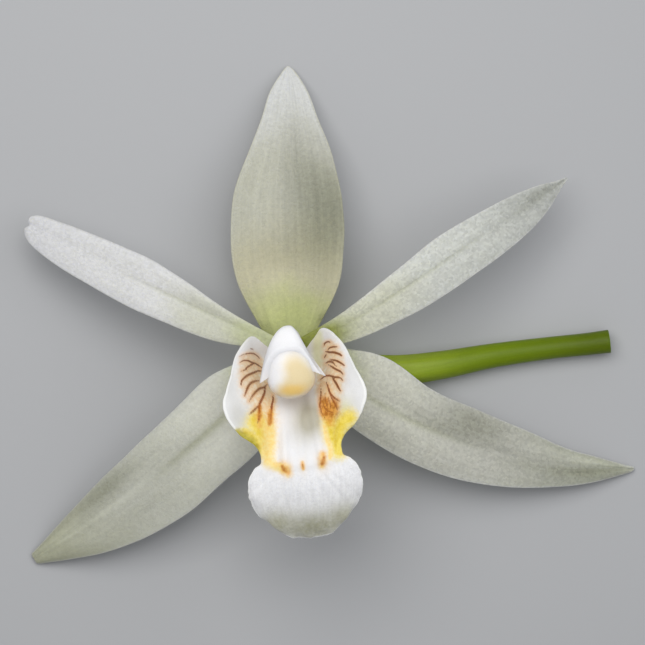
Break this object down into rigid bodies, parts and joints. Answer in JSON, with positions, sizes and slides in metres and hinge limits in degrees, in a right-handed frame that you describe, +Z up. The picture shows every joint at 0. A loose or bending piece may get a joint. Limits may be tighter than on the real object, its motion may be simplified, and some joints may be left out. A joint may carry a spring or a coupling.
{
  "type": "coelogyne orchid flower",
  "caption": "Picked white orchid flower lying on its back: slender sepals and petals, a lobed lip with a veined yellow throat, a hooded column and a green pedicel.",
  "frame": {"origin": "bottom centre of the flower's box, on the surface that it lies on", "axes": "+X along the widest spread, towards the pedicel's cut end; +Y towards the dorsal sepal's tip; +Z up, out of the flower's face"},
  "size_m": [0.06, 0.0492, 0.019],
  "materials": {
    "sepal": "thin translucent greenish-white tissue with a fine sparkle, greener at the base",
    "petal": "thin translucent white tissue with a fine sparkle and a fine midrib",
    "lip": "waxy white, brown-veined tan side lobes, yellow sinuses and orange keel tips",
    "column": "waxy white",
    "anther": "waxy cream with a tan beak",
    "pedicel": "smooth fresh green, faintly ribbed at the ovary"
  },
  "bodies": {
    "root": {"dorsal_sepal": "sepal", "lateral_sepal_left": "sepal", "lateral_sepal_right": "sepal", "petal_left": "petal", "petal_right": "petal", "lip": "lip", "column": "column", "anther_cap": "anther", "ovary_and_pedicel": "pedicel"}
  },
  "joints": []
}
